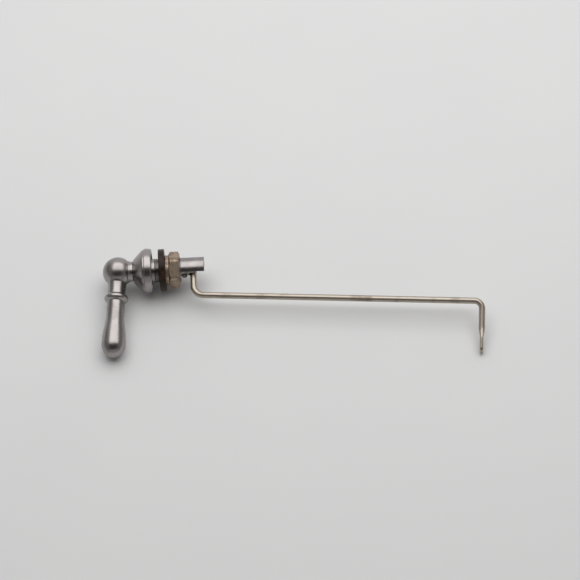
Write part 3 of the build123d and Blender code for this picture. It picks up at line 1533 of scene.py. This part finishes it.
    def socket(self) -> Mesh:
        """The bore that takes the spindle.

        Returns:
            The bore's mesh.
        """
        floor = self.hub_at() - self.hub_r + self.socket_floor
        mouth = self.boss_end() + self.socket_floor
        outline = [(floor, 0.0), (floor, self.socket_r), (mouth, self.socket_r), (mouth, 0.0)]
        return Lathe().turn(as_rings(outline))

    def build(self) -> Object:
        """Make the piece.

        Returns:
            The piece.
        """
        place = self.place()
        ball_end = self.root_at * self.plain_ball_share
        outline = self.ball_outline(ball_end) + self.neck_outline(ball_end) + self.swell_outline()
        lever = Lathe().turn(as_rings(outline))
        lever.transform(place.matrix())
        joined = combined(lever, self.boss(), Joining.UNION)
        bored = combined(joined, self.socket(), Joining.DIFFERENCE)
        finish = SatinNickel(place).material("satin_nickel_handle")
        return show(bored, "handle_casting", Body.LEVER, "handle", finish)


@dataclass(frozen=True)
class LiftArm:
    """One brass rod: stub in the spindle, leg, long run, and a drilled end leg that is pressed flat."""

    rod_r: float = 2.365
    stub_start: float = 14.7
    leg_x: float = 30.9
    stub_bend: float = 3.2
    leg_length: float = 21.3
    leg_bend: float = 7.5
    run_length: float = 216.3
    run_yaw: float = 4.8
    run_rise: float = 1.2
    end_bend: float = 6.0
    end_length: float = 39.2
    end_lean: float = 4.9
    end_droop: float = 13.0
    press_length: float = 19.4
    press_taper: float = 9.0
    press_thickness: float = 2.5
    press_width: float = 7.2
    press_twist: float = 4.3
    eye_r: float = 1.6
    eye_inset: float = 4.2
    eye_chamfer: float = 0.25
    step: float = 0.5
    sides: int = 40
    bend_steps: int = 24

    @staticmethod
    def way(yaw: float, pitch: float) -> Vector:
        """A direction in the lever's own frame.

        Args:
            yaw: Degrees from +X towards -Y.
            pitch: Degrees above level.

        Returns:
            The unit direction.
        """
        level = math.cos(math.radians(pitch))
        turn = math.radians(yaw)
        return Vector((level * math.cos(turn), -level * math.sin(turn), math.sin(math.radians(pitch))))

    def run_way(self) -> Vector:
        """The long run's direction."""
        return self.way(self.run_yaw, self.run_rise)

    def end_way(self) -> Vector:
        """The end leg's direction."""
        return self.way(RIGHT_ANGLE + self.end_lean, -self.end_droop)

    def flat_way(self) -> Vector:
        """The direction that the pressed flat faces.

        Returns:
            The unit direction, square to the end leg.
        """
        run_way, end_way = self.run_way(), self.end_way()
        square_way = (run_way - end_way * run_way.dot(end_way)).normalized()
        return Matrix.Rotation(math.radians(self.press_twist), 3, end_way) @ square_way

    def corners(self) -> list[Vector]:
        """The rod's two ends, and the sharp corners that its bends round off.

        Returns:
            The five points in order, in the lever's own frame.
        """
        corner = Vector((self.leg_x, 0, 0))
        elbow = corner + Vector((0, -self.leg_length, 0))
        far = elbow + self.run_way() * self.run_length
        tip = far + self.end_way() * self.end_length
        return [Vector((self.stub_start, 0, 0)), corner, elbow, far, tip]

    def route(self, lie: Matrix) -> Mesh:
        """The rod's route as a line that carries each corner's bend.

        Args:
            lie: The turn from the lever's own frame to where it lies.

        Returns:
            The line's mesh.
        """
        corners = self.corners()
        mesh = bpy.data.meshes.new("route")
        edges = [(i, i + 1) for i in range(len(corners) - 1)]
        mesh.from_pydata([lie @ corner * MM for corner in corners], edges, [])
        bends = mesh.attributes.new("bend", "FLOAT", "POINT")
        sizes = (0.0, self.stub_bend, self.leg_bend, self.end_bend, 0.0)
        bends.data.foreach_set("value", [size * MM for size in sizes])
        return mesh

    def build(self, bender: RodBender, droop: float) -> Object:
        """Make the piece.

        Args:
            bender: What sweeps, presses and drills the rod.
            droop: The angle in radians at which the lever lies.

        Returns:
            The piece.
        """
        lie = Matrix.Rotation(droop, 3, "X")
        finish = DrawnBrass().material("drawn_arm_brass")
        lengths = {
            "Rod Radius": self.rod_r,
            "Step": self.step,
            "Press Length": self.press_length,
            "Taper": self.press_taper,
            "Thickness": self.press_thickness,
            "Width": self.press_width,
            "Eye Radius": self.eye_r,
            "Eye Inset": self.eye_inset,
            "Eye Chamfer": self.eye_chamfer,
            "Tip": lie @ self.corners()[-1],
        }
        others = {
            "Bend Steps": self.bend_steps,
            "Sides": self.sides,
            "End Way": lie @ self.end_way(),
            "Flat Way": lie @ self.flat_way(),
            "Wide Way": lie @ self.flat_way().cross(self.end_way()),
            "Material": finish,
        }
        rod = bender.tree.run(self.route(lie), lengths, others)
        return show(rod, "lift_arm_rod", Body.LEVER, "arm", finish)


@dataclass(frozen=True)
class SetScrew:
    """Headless screw with a hexagon socket, which stands out of the spindle."""

    radius: float = 2.0
    length: float = 4.0
    tip: float = 2.43
    station: float = 24.4
    edge: float = 0.3
    socket_flats: float = 2.0
    socket_depth: float = 1.8
    socket_sides: int = 6
    pitch: float = 0.7
    thread_depth: float = 0.3
    thread_run_out: float = 0.2
    segments: int = 48
    steel: Colour = (0.30, 0.28, 0.26)
    stain: Colour = (0.15, 0.13, 0.11)

    def socket(self, angle: float) -> float:
        """The socket's radius at an angle."""
        step = FULL_TURN / self.socket_sides
        return self.socket_flats / 2 / math.cos(angle % step - step / 2)

    def build(self, cutter: ThreadCutter, droop: float) -> Object:
        """Make the piece.

        Args:
            cutter: What cuts its thread.
            droop: The angle in radians at which the lever lies.

        Returns:
            The piece.
        """
        axis = Vector((0, -math.cos(droop), -math.sin(droop)))
        place = place_across(axis, Vector((self.station * MM, 0, 0)) + axis * self.tip * MM)
        thread = Thread(
            radius=self.radius,
            start=self.edge,
            end=self.length - self.edge,
            pitch=self.pitch,
            depth=self.thread_depth,
            run_out=self.thread_run_out,
            hand=Hand.RIGHT,
        )
        rings = [
            Ring(0.0, 0.0),
            Ring(0.0, self.radius - self.edge),
            *(Ring(station, self.radius) for station in thread.stations()),
            Ring(self.length, self.radius - self.edge),
            Ring(self.length, self.socket),
            Ring(self.length - self.socket_depth, self.socket),
            Ring(self.length - self.socket_depth, 0.0),
        ]
        mesh = Lathe(self.segments).turn(rings)
        finish = TurnedSteel(place, self.steel, self.stain).material("screw_steel")
        threaded = cutter.cut(mesh, thread, finish)
        threaded.transform(place.matrix())
        return show(threaded, "set_screw_threaded", Body.LEVER, "arm_set_screw", finish)


@dataclass(frozen=True)
class Spindle:
    """Round bar that joins the handle to the arm, shown as it was modelled, in steel darkened as painted
    shade for the shadow under the hood.
    """

    # The steel colour is set darker than plated steel's own, as painted shade for the shadow under the hood.
    # The stain patches are random.
    steel: Colour = (0.34, 0.31, 0.275)
    stain: Colour = (0.20, 0.175, 0.145)

    def build(self) -> Object:
        """Dress the solid in plated steel, darkened as painted shade."""
        return dress("spindle", TurnedSteel(SPINDLE_AXIS, self.steel, self.stain).material("spindle_steel"))


@dataclass(frozen=True)
class SpindleBush:
    """Plain sleeve round the spindle, shown as it was modelled."""

    def build(self) -> Object:
        """Dress the solid in bearing plastic."""
        return dress("spindle_bush", BushPlastic().material("bush_plastic"))


@dataclass(frozen=True)
class Studio:
    """Pale floor, one wide soft lamp overhead, a grey room, and the camera."""

    floor_r: float = 4.0
    floor_sides: int = 96
    lamp_at: Position = (0.2, 0.5, 1.0)
    lamp_size: tuple[float, float] = (1.7, 1.38)
    lamp_power: float = 9.5
    front: Colour = (0.42, 0.418, 0.416)
    back: Colour = (0.76, 0.76, 0.765)
    side: Colour = (0.27, 0.268, 0.266)
    dark: Colour = (0.04, 0.036, 0.035)
    back_span: Span = (-0.1, 0.1)
    side_span: Span = (0.44, 0.79)
    dark_span: Span = (0.4, 1.0)
    dark_lift: float = 54.5
    dark_half_width: float = 29.5
    dark_soft: float = 10.0
    least_level: float = 0.001
    camera_at: Position = (0.0625, -0.7479, 1.2582)
    azimuth: float = -3.2
    elevation: float = 60.0
    lens: float = 120.0
    sensor: float = 36.0
    clip_start: float = 0.01

    def build(self) -> None:
        """Make floor, light and camera."""
        self.make_floor()
        self.make_lamp()
        self.make_room()
        self.make_camera()

    def make_floor(self) -> None:
        """A wide round floor under the part's lowest point."""
        form = bmesh.new()
        bmesh.ops.create_circle(form, cap_ends=True, segments=self.floor_sides, radius=self.floor_r)
        mesh = finished_mesh(form, "floor")
        mesh.transform(Matrix.Translation((0, 0, CAD_BOX[0].z)))
        mesh.materials.append(PaleFloor().material("pale_floor"))
        floor = in_scene("floor", mesh)

    def make_lamp(self) -> None:
        """The overhead lamp, which shines straight down."""
        lamp = bpy.data.lights.new("overhead", "AREA")
        lamp.shape = "RECTANGLE"
        lamp.size, lamp.size_y = self.lamp_size
        lamp.energy = self.lamp_power
        in_scene("overhead", lamp).location = self.lamp_at

    def make_room(self) -> None:
        """A grey room: pale behind the part, dim in front and at the sides, dark above the front."""
        world = bpy.data.worlds.new("room")
        world.use_nodes = True
        tree = Tree(world.node_tree)
        tree.nodes.nodes.clear()
        x, y, z = tree.split(tree.node("ShaderNodeTexCoord").outputs["Generated"])
        level = y.hypot(z).at_least(self.least_level)
        lift = math.radians(self.dark_lift)
        facing = (z * math.sin(lift) - y * math.cos(lift)) / level
        edge = math.cos(math.radians(self.dark_half_width))
        core = math.cos(math.radians(self.dark_half_width - self.dark_soft))
        dark = facing.ramp(edge, core) * (1.0 - abs(x).ramp(*self.dark_span))
        walls = tree.blend((y / level).ramp(*self.back_span), self.front, self.back)
        sided = tree.blend(abs(x).ramp(*self.side_span), walls, self.side)
        colour = tree.blend(dark, sided, self.dark)
        sky = tree.node("ShaderNodeBackground", sockets={"Color": colour, "Strength": 1.0})
        tree.node("ShaderNodeOutputWorld", sockets={"Surface": sky.outputs[0]})
        bpy.context.scene.world = world

    def make_camera(self) -> None:
        """The camera at the photograph's viewing angle."""
        camera = bpy.data.cameras.new("camera")
        camera.lens = self.lens
        camera.sensor_width = self.sensor
        camera.clip_start = self.clip_start
        turn, lift = math.radians(self.azimuth), math.radians(self.elevation)
        back = Vector((math.sin(turn) * math.cos(lift), -math.cos(turn) * math.cos(lift), math.sin(lift)))
        holder = in_scene("camera", camera)
        holder.location = self.camera_at
        holder.rotation_mode = "QUATERNION"
        holder.rotation_quaternion = (-back).to_track_quat("-Z", "Y")
        bpy.context.scene.camera = holder


def main() -> None:
    """Build every piece, report it, and set up the studio."""
    logging.basicConfig(level=logging.INFO, format="%(name)s: %(message)s")
    bpy.context.scene.view_settings.view_transform = "Standard"
    cutter = ThreadCutter()
    handle = HandleCasting()
    pieces = (
        Escutcheon().build(cutter),
        RubberWasher().build(),
        LockNut().build(cutter),
        handle.build(),
        LiftArm().build(RodBender(), handle.droop()),
        SetScrew().build(cutter, handle.droop()),
        Spindle().build(),
        SpindleBush().build(),
    )
    for piece in pieces:
        log.info("%s: %d faces in %s", piece.name, len(piece.data.polygons), piece.data.materials[0].name)
    Studio().build()


if __name__ == "__main__":
    main()
